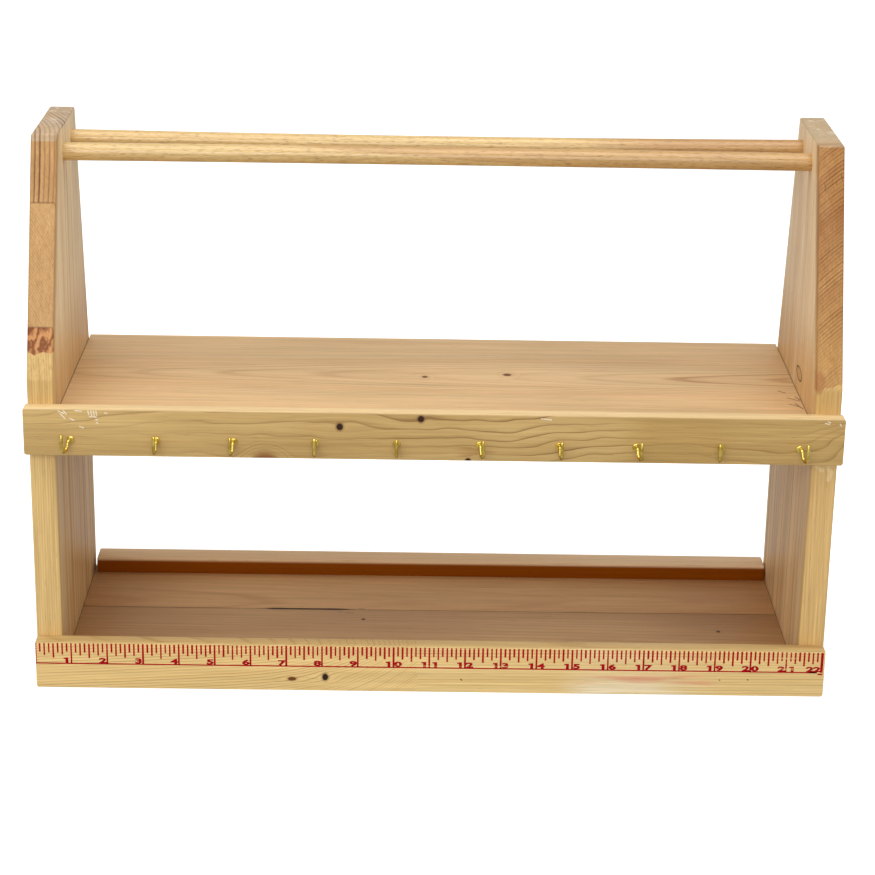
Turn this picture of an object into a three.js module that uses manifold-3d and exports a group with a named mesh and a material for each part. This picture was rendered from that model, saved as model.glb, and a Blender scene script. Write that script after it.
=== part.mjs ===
// Bench-top rack for a jeweller's hand tools: two solid pine ends carry two shelves, a plain rail along the
// front of each shelf, a low strip at the back of the lower one and a pair of round bars between their tops.
// Ten brass cup hooks are screwed into the upper rail.
// Millimetres, +X to the right, +Y to the back, +Z up. The origin is under the middle of the whole rack.
import * as THREE from "three";
import { mergeVertices } from "three/addons/utils/BufferGeometryUtils.js";
import Module from "manifold-3d";

const wasm = await Module();
wasm.setup();

// Ends
const END_SPAN = 561; // over the outer faces of the two ends
const END_THICKNESS = 18;
const END_HEIGHT = 385;
const END_DEPTH = 189;
const FRONT_SLOPE_ABOVE_RAIL = 17; // the front edge leans back from this far above the hook rail
const FRONT_SLOPE_SETBACK = 61; // how far the top lies behind the front edge
const REAR_SLOPE_SETBACK = 36; // the rear edge leans forward from the upper shelf's top
const TOP_CHAMFER = 6; // one top corner of each end is nipped off

// Shelves
const SHELF_THICKNESS = 12;
const UPPER_SHELF_DEPTH = 196.5;
const LOWER_SHELF_DEPTH = 192.5;
const LOWER_FRONT_BOARD_WIDTH = 107; // the lower shelf is two boards, glued edge to edge

// Front rails
const RAIL_THICKNESS = 10;
const RULE_RAIL_HEIGHT = 36;
const HOOK_RAIL_HEIGHT = 34;
const HOOK_RAIL_BOTTOM = 176;
const HOOK_RAIL_OVERHANG = 2; // past the outer face of each end
const UPPER_SHELF_LIP = 10.5; // the hook rail stands this far above the upper shelf

// Rear strip on the lower shelf
const STRIP_HEIGHT = 12.4;
const STRIP_DEPTH = 19;
const STRIP_LEFT_GAP = 2.6;
const STRIP_RIGHT_GAP = 1;

// Round bars
const BAR_DIAMETER = 12.7;
const BAR_BELOW_TOP = 18.5;
const BAR_SPACING = 43.2;
const BARS_BEHIND_TOP_MIDDLE = 4.6; // the pair is set a little behind the middle of the ends' tops
const BAR_SOCKET_WALL = 8; // wood left between a bar's socket and the outer face

// Cup hooks
const HOOK_COUNT = 10;
const HOOK_ROW_INSET = 30.5; // from each end of the rail to the first hook's mark
const HOOK_DRIFT = [2, 5, 2, 2, 2, 3, 2, -1, 2, 0]; // set by eye, so each is a little off its mark
const HOOK_TURN = [-24, -4, -9, -1, 0, 11, 6, 14, -12, 19]; // degrees each hook is bent to the side
const HOOK_ABOVE_RAIL_BOTTOM = 11.7;
const HOOK_WIRE = 2;
const HOOK_COLLAR_DIAMETER = 5.4;
const HOOK_COLLAR_THICKNESS = 1.1;
const HOOK_SHANK_DIAMETER = 2.2;
const HOOK_SHANK_WALL = 2; // wood left between a shank's tip and the back of the rail
const HOOK_LEAD = 1.6; // straight wire before the first bend
const HOOK_SHOULDER_RADIUS = 3;
const HOOK_SHOULDER_TURN = 75; // degrees
const HOOK_SHOULDER_DROP = 0.9; // straight wire between the two bends
const HOOK_CUP_RADIUS = 4;
const HOOK_UPRIGHT = 8;

// Screws through the ends into the shelves
const SCREW_DIAMETER = 3.5;
const SCREW_HEAD_DIAMETER = 7;
const SCREW_HEAD_HEIGHT = 2.2;
const SCREW_LENGTH = 38;
const SCREW_POINT = 4;
const UPPER_SCREW_SETBACK = 45; // from the front and rear edges of an end

// Fits and finish
const FIT = 0.3; // clearance round and beyond every piece that sits in a hole
const EASE = 1.5; // rounded edges of the ends and rails
const RAIL_CORNER = 1; // a rail's corner radius, over and above its rounded edges
const STRIP_EASE = 1;
const EASE_STEPS = 3;
const BAR_SIDES = 28;
const WIRE_SIDES = 10;
const COLLAR_SIDES = 16;
const SCREW_SIDES = 14;
const PILOT_SIDES = 10;
const HOOK_STEPS = 24;

// Places that follow from the sizes above
const radians = THREE.MathUtils.degToRad;
const SIDE_SIGN = { left: -1, right: 1 };
const INNER_HALF = END_SPAN / 2 - END_THICKNESS;
const HOOK_RAIL_LENGTH = END_SPAN + 2 * HOOK_RAIL_OVERHANG;
const HOOK_RAIL_TOP = HOOK_RAIL_BOTTOM + HOOK_RAIL_HEIGHT;
const UPPER_SHELF_TOP = HOOK_RAIL_TOP - UPPER_SHELF_LIP;
const FRONT_SLOPE_START = HOOK_RAIL_TOP + FRONT_SLOPE_ABOVE_RAIL;
const REAR_SLOPE_START = UPPER_SHELF_TOP;

// The wire of a hook lies in one upright plane: out is away from the rail, up is above the shank.
const shoulderTurn = radians(HOOK_SHOULDER_TURN);
const shoulderEnd = {
  out: HOOK_LEAD + HOOK_SHOULDER_RADIUS * Math.sin(shoulderTurn),
  up: HOOK_SHOULDER_RADIUS * (Math.cos(shoulderTurn) - 1),
};
const cupStart = {
  out: shoulderEnd.out + HOOK_SHOULDER_DROP * Math.cos(shoulderTurn),
  up: shoulderEnd.up - HOOK_SHOULDER_DROP * Math.sin(shoulderTurn),
};
const cupCentre = {
  out: cupStart.out + HOOK_CUP_RADIUS * Math.sin(shoulderTurn),
  up: cupStart.up + HOOK_CUP_RADIUS * Math.cos(shoulderTurn),
};
const UPRIGHT_OUT = cupCentre.out + HOOK_CUP_RADIUS;
const leastTurn = radians(Math.min(...HOOK_TURN.map(Math.abs)));
const HOOK_REACH = UPRIGHT_OUT * Math.cos(leastTurn) + HOOK_WIRE / 2;

// Depths from the origin, which lies midway between the hooks' fronts and the deepest board's back
const DEEPEST = Math.max(UPPER_SHELF_DEPTH, LOWER_SHELF_DEPTH, END_DEPTH);
const RACK_DEPTH = HOOK_REACH + RAIL_THICKNESS + DEEPEST;
const RAIL_FRONT_Y = HOOK_REACH - RACK_DEPTH / 2;
const END_FRONT_Y = RAIL_FRONT_Y + RAIL_THICKNESS;
const TOP_MIDDLE_Y =
  END_FRONT_Y + (FRONT_SLOPE_SETBACK + END_DEPTH - REAR_SLOPE_SETBACK) / 2;
const BARS_Y = TOP_MIDDLE_Y + BARS_BEHIND_TOP_MIDDLE;
const BARS = [
  { name: "front_dowel", y: BARS_Y - BAR_SPACING / 2 },
  { name: "rear_dowel", y: BARS_Y + BAR_SPACING / 2 },
];
const BAR_Z = END_HEIGHT - BAR_BELOW_TOP;
const BAR_SOCKET_DEPTH = END_THICKNESS - BAR_SOCKET_WALL;
const STRIP_REAR_Y = END_FRONT_Y + LOWER_SHELF_DEPTH;

// Boards of the two shelves, each with the setbacks of its screws from the front edge of the ends
const SHELF_BOARDS = [
  {
    name: "upper_shelf",
    setback: 0,
    depth: UPPER_SHELF_DEPTH,
    bottom: UPPER_SHELF_TOP - SHELF_THICKNESS,
    screws: { front: UPPER_SCREW_SETBACK, rear: END_DEPTH - UPPER_SCREW_SETBACK },
  },
  {
    name: "lower_shelf_front_board",
    setback: 0,
    depth: LOWER_FRONT_BOARD_WIDTH,
    bottom: 0,
    screws: { middle: LOWER_FRONT_BOARD_WIDTH / 2 },
  },
  {
    name: "lower_shelf_rear_board",
    setback: LOWER_FRONT_BOARD_WIDTH,
    depth: LOWER_SHELF_DEPTH - LOWER_FRONT_BOARD_WIDTH,
    bottom: 0,
    screws: { middle: (LOWER_FRONT_BOARD_WIDTH + END_DEPTH) / 2 },
  },
];

const screws = SHELF_BOARDS.flatMap((board) =>
  Object.entries(board.screws).flatMap(([spot, setback]) =>
    Object.entries(SIDE_SIGN).map(([side, sign]) => ({
      name: `${board.name}_screw_${side}_${spot}`,
      board: board.name,
      side,
      inward: new THREE.Vector3(-sign, 0, 0),
      head: new THREE.Vector3(
        (sign * END_SPAN) / 2,
        END_FRONT_Y + setback,
        board.bottom + SHELF_THICKNESS / 2,
      ),
    })),
  ),
);

const HOOK_PITCH = (HOOK_RAIL_LENGTH - 2 * HOOK_ROW_INSET) / (HOOK_COUNT - 1);
const HOOK_Z = HOOK_RAIL_BOTTOM + HOOK_ABOVE_RAIL_BOTTOM;
const HOOK_SHANK_LENGTH = RAIL_THICKNESS - HOOK_SHANK_WALL;
const hooks = Array.from({ length: HOOK_COUNT }, (_, i) => {
  const mark = (i - (HOOK_COUNT - 1) / 2) * HOOK_PITCH;
  return {
    name: `cup_hook_${String(i + 1).padStart(2, "0")}`,
    turn: radians(HOOK_TURN[i % HOOK_TURN.length]),
    place: new THREE.Vector3(
      mark + HOOK_DRIFT[i % HOOK_DRIFT.length],
      RAIL_FRONT_Y,
      HOOK_Z,
    ),
  };
});

// Solids
function solidOf(geometry) {
  const bare = geometry.clone();
  bare.deleteAttribute("normal");
  bare.deleteAttribute("uv");
  const merged = mergeVertices(bare, 1e-4);
  return new wasm.Manifold(
    new wasm.Mesh({
      numProp: 3,
      vertProperties: new Float32Array(merged.attributes.position.array),
      triVerts: new Uint32Array(merged.index.array),
    }),
  );
}

function geometryOf(solid) {
  const mesh = solid.getMesh();
  const geometry = new THREE.BufferGeometry();
  geometry.setAttribute(
    "position",
    new THREE.BufferAttribute(mesh.vertProperties, mesh.numProp),
  );
  geometry.setIndex(new THREE.BufferAttribute(mesh.triVerts, 1));
  geometry.computeVertexNormals();
  return geometry;
}

function cut(geometry, tools) {
  const solids = tools.map(solidOf);
  return geometryOf(
    solids.reduce((left, tool) => left.subtract(tool), solidOf(geometry)),
  );
}

function join(...geometries) {
  return geometryOf(
    geometries.map(solidOf).reduce((whole, next) => whole.add(next)),
  );
}

// A turned piece: profile points are [radius, distance along the axis], from the axis round to the axis.
function turned(profile, sides, start, along) {
  const points = profile.map(([r, d]) => new THREE.Vector2(r, d));
  const toAxis = new THREE.Quaternion().setFromUnitVectors(
    new THREE.Vector3(0, 1, 0),
    along,
  );
  return new THREE.LatheGeometry(points, sides)
    .applyQuaternion(toAxis)
    .translate(start.x, start.y, start.z);
}

// A blind hole, which starts a clearance outside the face so that the cut is clean
function blindHole(diameter, depth, sides, mouth, along) {
  const radius = diameter / 2 + FIT;
  const profile = [
    [0, -FIT],
    [radius, -FIT],
    [radius, depth],
    [0, depth],
  ];
  return turned(profile, sides, mouth, along);
}

// A board with rounded edges. The outline is drawn inside the edges, which swell out from it to full size.
function easedBoard(outline, thickness, ease) {
  return new THREE.ExtrudeGeometry(outline, {
    depth: thickness - 2 * ease,
    bevelThickness: ease,
    bevelSize: ease,
    bevelSegments: EASE_STEPS,
    curveSegments: EASE_STEPS,
  }).translate(0, 0, ease);
}

// A rail or strip: its front view is drawn flat, with round corners, and thickened towards the back.
function easedRail({ length, height, thickness, ease, corner, left, front, bottom }) {
  const right = length - ease - corner;
  const top = height - ease - corner;
  const start = ease + corner;
  const quarter = Math.PI / 2;
  const outline = new THREE.Shape()
    .absarc(start, start, corner, 2 * quarter, 3 * quarter)
    .absarc(right, start, corner, 3 * quarter, 4 * quarter)
    .absarc(right, top, corner, 0, quarter)
    .absarc(start, top, corner, quarter, 2 * quarter);
  const frontView = new THREE.Matrix4().makeBasis(
    new THREE.Vector3(1, 0, 0),
    new THREE.Vector3(0, 0, 1),
    new THREE.Vector3(0, -1, 0),
  );
  return easedBoard(outline, thickness, ease)
    .applyMatrix4(frontView)
    .translate(left, front + thickness, bottom);
}

// Finishes
const finish = {
  pine: () =>
    new THREE.MeshStandardMaterial({ color: 0xd2ab72, roughness: 0.55 }),
  shadedPine: () =>
    new THREE.MeshStandardMaterial({ color: 0xb98a58, roughness: 0.6 }),
  bar: () =>
    new THREE.MeshStandardMaterial({ color: 0xd9b27c, roughness: 0.5 }),
  brass: () =>
    new THREE.MeshStandardMaterial({
      color: 0xc9a648,
      roughness: 0.28,
      metalness: 1,
    }),
  steel: () =>
    new THREE.MeshStandardMaterial({
      color: 0x9d9a92,
      roughness: 0.4,
      metalness: 1,
    }),
};

const rack = new THREE.Group();
rack.name = "jewellers_tool_rack";

// A piece is shaped where it stands, and then carried by its mesh's own position.
function addPiece(name, geometry, material, place) {
  geometry.translate(-place.x, -place.y, -place.z);
  const mesh = new THREE.Mesh(geometry, material);
  mesh.name = name;
  mesh.position.copy(place);
  rack.add(mesh);
}

// Screws, and the countersunk holes that they sit in
function screwProfile() {
  const shank = SCREW_DIAMETER / 2;
  return [
    [0, 0],
    [SCREW_HEAD_DIAMETER / 2, 0],
    [shank, SCREW_HEAD_HEIGHT],
    [shank, SCREW_LENGTH - SCREW_POINT],
    [0, SCREW_LENGTH],
  ];
}

function screwHole({ head, inward }) {
  const shank = SCREW_DIAMETER / 2 + FIT;
  const rim = SCREW_HEAD_DIAMETER / 2 + FIT;
  const profile = [
    [0, -FIT],
    [rim, -FIT],
    [rim, 0],
    [shank, SCREW_HEAD_HEIGHT],
    [shank, SCREW_LENGTH + FIT],
    [0, SCREW_LENGTH + FIT],
  ];
  return turned(profile, SCREW_SIDES, head, inward);
}

function addScrews() {
  for (const { name, head, inward } of screws) {
    const screw = turned(screwProfile(), SCREW_SIDES, head, inward);
    addPiece(name, screw, finish.steel(), head);
  }
}

// Ends: a leaning outline in the side view, thickened along X
function endOutline(chamferedCorner) {
  const topFront = new THREE.Vector2(FRONT_SLOPE_SETBACK, END_HEIGHT);
  const topRear = new THREE.Vector2(END_DEPTH - REAR_SLOPE_SETBACK, END_HEIGHT);
  const slopeFoot = new THREE.Vector2(0, FRONT_SLOPE_START);
  const rearFoot = new THREE.Vector2(END_DEPTH, REAR_SLOPE_START);
  const nip = (corner, towards) =>
    towards.clone().sub(corner).setLength(TOP_CHAMFER).add(corner);
  const rearCorner =
    chamferedCorner === "rear"
      ? [nip(topRear, rearFoot), nip(topRear, topFront)]
      : [topRear];
  const frontCorner =
    chamferedCorner === "front"
      ? [nip(topFront, topRear), nip(topFront, slopeFoot)]
      : [topFront];
  return [
    new THREE.Vector2(0, 0),
    new THREE.Vector2(END_DEPTH, 0),
    rearFoot,
    ...rearCorner,
    ...frontCorner,
    slopeFoot,
  ];
}

// Moves every side of a convex, anticlockwise outline inwards by the same distance
function inset(outline, distance) {
  return outline.map((corner, i) => {
    const before = outline.at(i - 1);
    const after = outline[(i + 1) % outline.length];
    const arriving = corner.clone().sub(before).normalize();
    const leaving = after.clone().sub(corner).normalize();
    const inwardNormal = new THREE.Vector2(-arriving.y, arriving.x);
    const otherNormal = new THREE.Vector2(-leaving.y, leaving.x);
    const reach = distance / (1 + inwardNormal.dot(otherNormal));
    return inwardNormal.add(otherNormal).multiplyScalar(reach).add(corner);
  });
}

function addEnd(side, chamferedCorner) {
  const sign = SIDE_SIGN[side];
  const sideView = new THREE.Matrix4().makeBasis(
    new THREE.Vector3(0, 1, 0),
    new THREE.Vector3(0, 0, 1),
    new THREE.Vector3(1, 0, 0),
  );
  const middle = sign * (END_SPAN / 2 - END_THICKNESS / 2);
  const outline = new THREE.Shape(inset(endOutline(chamferedCorner), EASE));
  const board = easedBoard(outline, END_THICKNESS, EASE)
    .applyMatrix4(sideView)
    .translate(middle - END_THICKNESS / 2, END_FRONT_Y, 0);
  const sockets = BARS.map(({ y }) =>
    blindHole(
      BAR_DIAMETER,
      BAR_SOCKET_DEPTH,
      BAR_SIDES,
      new THREE.Vector3(sign * INNER_HALF, y, BAR_Z),
      new THREE.Vector3(sign, 0, 0),
    ),
  );
  const screwHoles = screws.filter((s) => s.side === side).map(screwHole);
  const place = new THREE.Vector3(middle, END_FRONT_Y, 0);
  const drilled = cut(board, [...sockets, ...screwHoles]);
  addPiece(`${side}_end`, drilled, finish.pine(), place);
}

// Shelves: plain square-edged boards between the ends
function addShelfBoard({ name, setback, depth, bottom }) {
  const place = new THREE.Vector3(
    0,
    END_FRONT_Y + setback + depth / 2,
    bottom + SHELF_THICKNESS / 2,
  );
  const board = new THREE.BoxGeometry(2 * INNER_HALF, depth, SHELF_THICKNESS);
  board.translate(place.x, place.y, place.z);
  const holes = screws.filter((s) => s.board === name).map(screwHole);
  const material = bottom > 0 ? finish.pine() : finish.shadedPine();
  addPiece(name, cut(board, holes), material, place);
}

function addHookRail() {
  const board = easedRail({
    length: HOOK_RAIL_LENGTH,
    height: HOOK_RAIL_HEIGHT,
    thickness: RAIL_THICKNESS,
    ease: EASE,
    corner: RAIL_CORNER,
    left: -HOOK_RAIL_LENGTH / 2,
    front: RAIL_FRONT_Y,
    bottom: HOOK_RAIL_BOTTOM,
  });
  const pilots = hooks.map(({ place }) =>
    blindHole(
      HOOK_SHANK_DIAMETER,
      HOOK_SHANK_LENGTH + FIT,
      PILOT_SIDES,
      place,
      new THREE.Vector3(0, 1, 0),
    ),
  );
  const place = new THREE.Vector3(0, RAIL_FRONT_Y, HOOK_RAIL_BOTTOM);
  addPiece("hook_rail", cut(board, pilots), finish.pine(), place);
}

function addRuleRail() {
  const board = easedRail({
    length: END_SPAN,
    height: RULE_RAIL_HEIGHT,
    thickness: RAIL_THICKNESS,
    ease: EASE,
    corner: RAIL_CORNER,
    left: -END_SPAN / 2,
    front: RAIL_FRONT_Y,
    bottom: 0,
  });
  const place = new THREE.Vector3(0, RAIL_FRONT_Y, 0);
  addPiece("rule_rail", board, finish.pine(), place);
}

function addRearStrip() {
  const left = STRIP_LEFT_GAP - INNER_HALF;
  const length = INNER_HALF - STRIP_RIGHT_GAP - left;
  const front = STRIP_REAR_Y - STRIP_DEPTH;
  const board = easedRail({
    length,
    height: STRIP_HEIGHT,
    thickness: STRIP_DEPTH,
    ease: STRIP_EASE,
    corner: STRIP_EASE / 2,
    left,
    front,
    bottom: SHELF_THICKNESS,
  });
  const place = new THREE.Vector3(left + length / 2, front, SHELF_THICKNESS);
  addPiece("rear_strip", board, finish.shadedPine(), place);
}

// Round bars, let into a socket in each end
function addBar({ name, y }) {
  const half = INNER_HALF + BAR_SOCKET_DEPTH - FIT;
  const radius = BAR_DIAMETER / 2;
  const profile = [
    [0, 0],
    [radius - FIT, 0],
    [radius, FIT],
    [radius, 2 * half - FIT],
    [radius - FIT, 2 * half],
    [0, 2 * half],
  ];
  const start = new THREE.Vector3(-half, y, BAR_Z);
  const bar = turned(profile, BAR_SIDES, start, new THREE.Vector3(1, 0, 0));
  addPiece(name, bar, finish.bar(), new THREE.Vector3(0, y, BAR_Z));
}

// Cup hook: a round collar on the rail, a shank in its pilot hole and a wire bent down, round and up again
class HookWire extends THREE.Curve {
  constructor(turn) {
    super();
    this.turn = turn;
    const right = Math.PI / 2;
    this.sideView = new THREE.Path()
      .moveTo(0, 0)
      .lineTo(HOOK_LEAD, 0)
      .absarc(
        HOOK_LEAD,
        -HOOK_SHOULDER_RADIUS,
        HOOK_SHOULDER_RADIUS,
        right,
        right - shoulderTurn,
        true,
      )
      .lineTo(cupStart.out, cupStart.up)
      .absarc(
        cupCentre.out,
        cupCentre.up,
        HOOK_CUP_RADIUS,
        3 * right - shoulderTurn,
        4 * right,
      )
      .lineTo(UPRIGHT_OUT, cupCentre.up + HOOK_UPRIGHT);
  }

  getPoint(t, target = new THREE.Vector3()) {
    const { x: out, y: up } = this.sideView.getPointAt(t);
    return target.set(out * Math.sin(this.turn), -out * Math.cos(this.turn), up);
  }
}

function addHook({ name, turn, place }) {
  const section = Array.from({ length: WIRE_SIDES }, (_, i) =>
    new THREE.Vector2(HOOK_WIRE / 2, 0).rotateAround(
      new THREE.Vector2(),
      (2 * Math.PI * i) / WIRE_SIDES,
    ),
  );
  const wire = new THREE.ExtrudeGeometry(new THREE.Shape(section), {
    extrudePath: new HookWire(turn),
    steps: HOOK_STEPS,
  });
  const collar = HOOK_COLLAR_DIAMETER / 2;
  const shank = HOOK_SHANK_DIAMETER / 2;
  const profile = [
    [0, -HOOK_SHANK_LENGTH],
    [shank, shank - HOOK_SHANK_LENGTH],
    [shank, 0],
    [collar, 0],
    [collar, HOOK_COLLAR_THICKNESS / 2],
    [(collar + HOOK_WIRE / 2) / 2, HOOK_COLLAR_THICKNESS],
    [0, HOOK_COLLAR_THICKNESS],
  ];
  const seat = turned(
    profile,
    COLLAR_SIDES,
    new THREE.Vector3(),
    new THREE.Vector3(0, -1, 0),
  );
  const hook = join(seat, wire).translate(place.x, place.y, place.z);
  addPiece(name, hook, finish.brass(), place);
}

addEnd("left", "front");
addEnd("right", "rear");
SHELF_BOARDS.forEach(addShelfBoard);
addHookRail();
addRuleRail();
addRearStrip();
BARS.forEach(addBar);
hooks.forEach(addHook);
addScrews();

export default rack;
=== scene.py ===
# Looks of a bench-top pine tool rack: boards with softened edges, a printed inch scale, brass cup hooks and
# solid wood grain that runs through each board, so that faces, edges and ends agree where they meet.
import math
import random

import bpy
from mathutils import Matrix, Vector


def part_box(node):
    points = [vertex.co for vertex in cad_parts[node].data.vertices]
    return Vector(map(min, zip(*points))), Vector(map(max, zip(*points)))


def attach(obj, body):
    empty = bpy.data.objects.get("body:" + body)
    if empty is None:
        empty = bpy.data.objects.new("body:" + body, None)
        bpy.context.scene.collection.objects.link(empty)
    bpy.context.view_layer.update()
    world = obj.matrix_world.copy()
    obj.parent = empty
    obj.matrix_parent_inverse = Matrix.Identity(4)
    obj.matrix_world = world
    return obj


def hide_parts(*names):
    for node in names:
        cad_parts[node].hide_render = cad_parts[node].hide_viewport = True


MM = 0.001
INCH = 25.4 * MM

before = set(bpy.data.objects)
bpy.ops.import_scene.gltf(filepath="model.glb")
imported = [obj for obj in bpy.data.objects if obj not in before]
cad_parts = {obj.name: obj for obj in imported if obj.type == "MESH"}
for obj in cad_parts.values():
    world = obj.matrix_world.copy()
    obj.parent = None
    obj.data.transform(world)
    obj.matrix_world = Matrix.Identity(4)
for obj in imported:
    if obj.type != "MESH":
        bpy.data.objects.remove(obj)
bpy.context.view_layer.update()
rng = random.Random(7)

# Photograph's camera, in pixels, radians and metres
PHOTO_SIZE = 875
FOCAL_PIXELS = 2452.2
SENSOR_WIDTH = 36.0
CAMERA_PITCH = 0.3423
CAMERA_YAW = -0.0108
CAMERA_ROLL = 0.0172
CAMERA_BEFORE_RAIL = 1588.27 * MM
CAMERA_LEFT = 15.1 * MM
CAMERA_HEIGHT = 758.8 * MM

# Places taken from the frame
RAIL_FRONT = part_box("hook_rail")[0].y


# Camera, floor and light
def add_camera():
    data = bpy.data.cameras.new("camera")
    data.sensor_width = SENSOR_WIDTH
    data.lens = FOCAL_PIXELS / PHOTO_SIZE * SENSOR_WIDTH
    data.clip_start = 0.05
    data.clip_end = 50
    camera = bpy.data.objects.new("camera", data)
    bpy.context.scene.collection.objects.link(camera)
    level = Matrix.Rotation(math.pi / 2, 3, "X")
    turn = Matrix.Rotation(CAMERA_YAW, 3, "Y")
    tilt = Matrix.Rotation(-CAMERA_PITCH, 3, "X")
    roll = Matrix.Rotation(CAMERA_ROLL, 3, "Z")
    camera.rotation_euler = (level @ turn @ tilt @ roll).to_euler()
    camera.location = (-CAMERA_LEFT, RAIL_FRONT - CAMERA_BEFORE_RAIL, CAMERA_HEIGHT)
    bpy.context.scene.camera = camera


def add_area_light(name, place, target, size, watts, colour):
    data = bpy.data.lights.new(name, "AREA")
    data.shape = "RECTANGLE"
    data.size, data.size_y = size
    data.energy = watts
    data.color = colour
    light = bpy.data.objects.new(name, data)
    bpy.context.scene.collection.objects.link(light)
    light.location = place
    aim = Vector(target) - Vector(place)
    light.rotation_euler = aim.to_track_quat("-Z", "Y").to_euler()


# Height of the view at which the room starts to brighten and is brightest, and the two brightnesses
SKY_RISE = (-0.2, 0.7, 0.50, 0.60)
SKY_COLOUR = (1.0, 0.985, 0.96, 1)
# Place, target, size, watts and colour of each light
LIGHTS = {
    "overhead": ((-0.1, -0.35, 2.1), (0, 0.05, 0.1), (2.2, 1.6), 26, (1.0, 0.985, 0.95)),
    "front": ((-0.4, -2.2, 1.1), (0, 0, 0.15), (2.0, 1.2), 24, (1.0, 0.98, 0.94)),
}
FLOOR_SIZE = 40
FLOOR_DROP = 0.4 * MM
FLOOR_COLOUR = (0.93, 0.93, 0.93, 1)
FLOOR_GLOW = 0.55


def add_studio():
    scene = bpy.context.scene
    scene.view_settings.view_transform = "Standard"
    world = bpy.data.worlds.new("studio")
    scene.world = world
    world.use_nodes = True
    sky = world.node_tree
    background = sky.nodes["Background"]
    direction = sky.nodes.new("ShaderNodeTexCoord").outputs["Generated"]
    split = sky.nodes.new("ShaderNodeSeparateXYZ")
    sky.links.new(direction, split.inputs[0])
    rise = sky.nodes.new("ShaderNodeMapRange")
    rise.interpolation_type = "SMOOTHSTEP"
    for socket, value in zip(rise.inputs[1:], SKY_RISE):
        socket.default_value = value
    sky.links.new(split.outputs[2], rise.inputs[0])
    sky.links.new(rise.outputs[0], background.inputs["Strength"])
    background.inputs["Color"].default_value = SKY_COLOUR
    for name, settings in LIGHTS.items():
        add_area_light(name, *settings)
    choose()
    bpy.ops.mesh.primitive_plane_add(size=FLOOR_SIZE, location=(0, 0, -FLOOR_DROP))
    floor = bpy.context.object
    floor.name = "floor"
    graph = Graph("floor_paper")
    graph.shader["Base Color"].default_value = FLOOR_COLOUR
    graph.shader["Roughness"].default_value = 0.9
    graph.shader["Emission Color"].default_value = (1, 1, 1, 1)
    graph.shader["Emission Strength"].default_value = FLOOR_GLOW
    floor.data.materials.append(graph.material)
    floor.visible_diffuse = False
    floor.visible_glossy = False


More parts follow.
